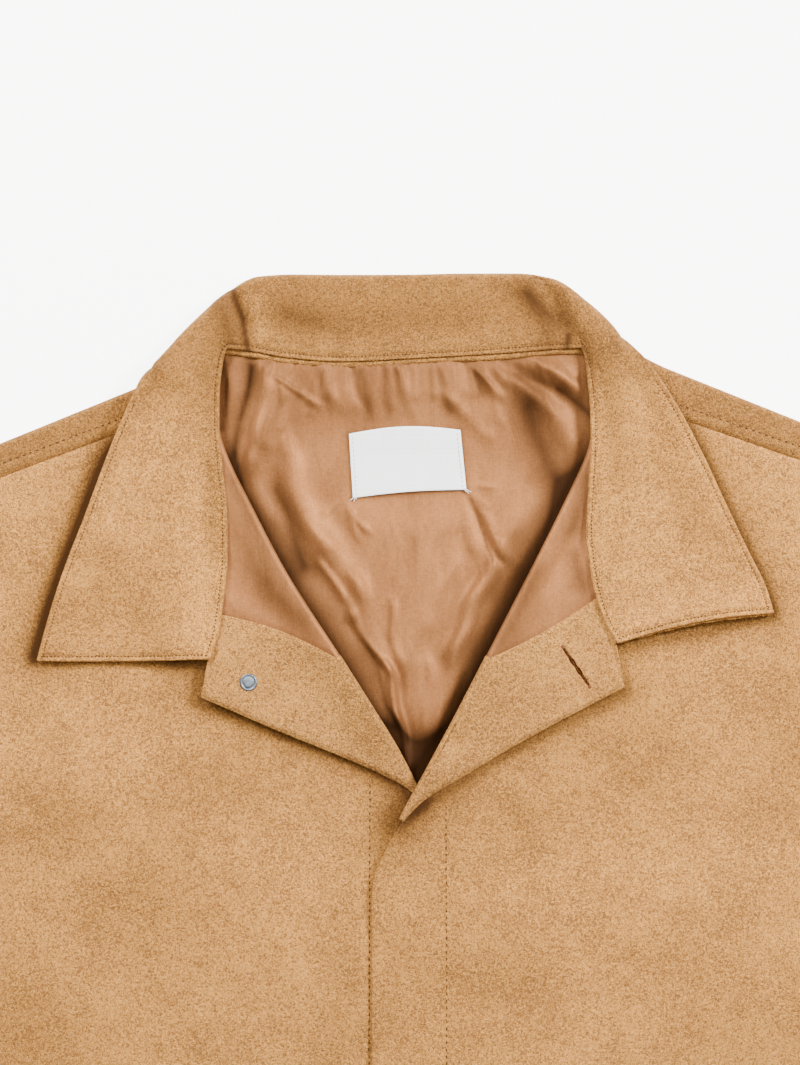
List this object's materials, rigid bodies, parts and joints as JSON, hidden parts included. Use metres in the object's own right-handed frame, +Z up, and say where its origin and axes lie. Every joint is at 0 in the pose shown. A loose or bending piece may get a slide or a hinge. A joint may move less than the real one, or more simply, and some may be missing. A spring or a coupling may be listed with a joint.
{
  "type": "suede jacket",
  "caption": "Suede shirt jacket laid flat on its back, collar and lapels open on a satin-lined neck, one lapel with a steel rivet and one with a buttonhole.",
  "frame": {"origin": "on the surface that the jacket lies on, under the middle of its outline", "axes": "+Z up from the surface, out of the jacket's front; +Y towards the collar; +X towards the wearer's left sleeve"},
  "size_m": [1.3747, 0.742, 0.0136],
  "materials": {
    "suede": "matte camel suede with a fine pebbled nap",
    "facing": "matte camel suede, a little flatter than the outside",
    "satin": "thin brown satin lining with soft gathers",
    "woven_label": "plain white woven label, bare",
    "steel": "grey steel, lightly worn"
  },
  "bodies": {
    "root": {"back": "suede", "front_right": "suede", "front_left": "suede", "sleeve_right": "suede", "sleeve_left": "suede", "collar": "suede", "neck_binding": "suede", "facing_right": "facing", "facing_left": "facing", "lining_back": "satin", "lining_right": "satin", "lining_left": "satin", "label": "woven_label", "rivet": "steel", "button_head": "steel"}
  },
  "joints": []
}
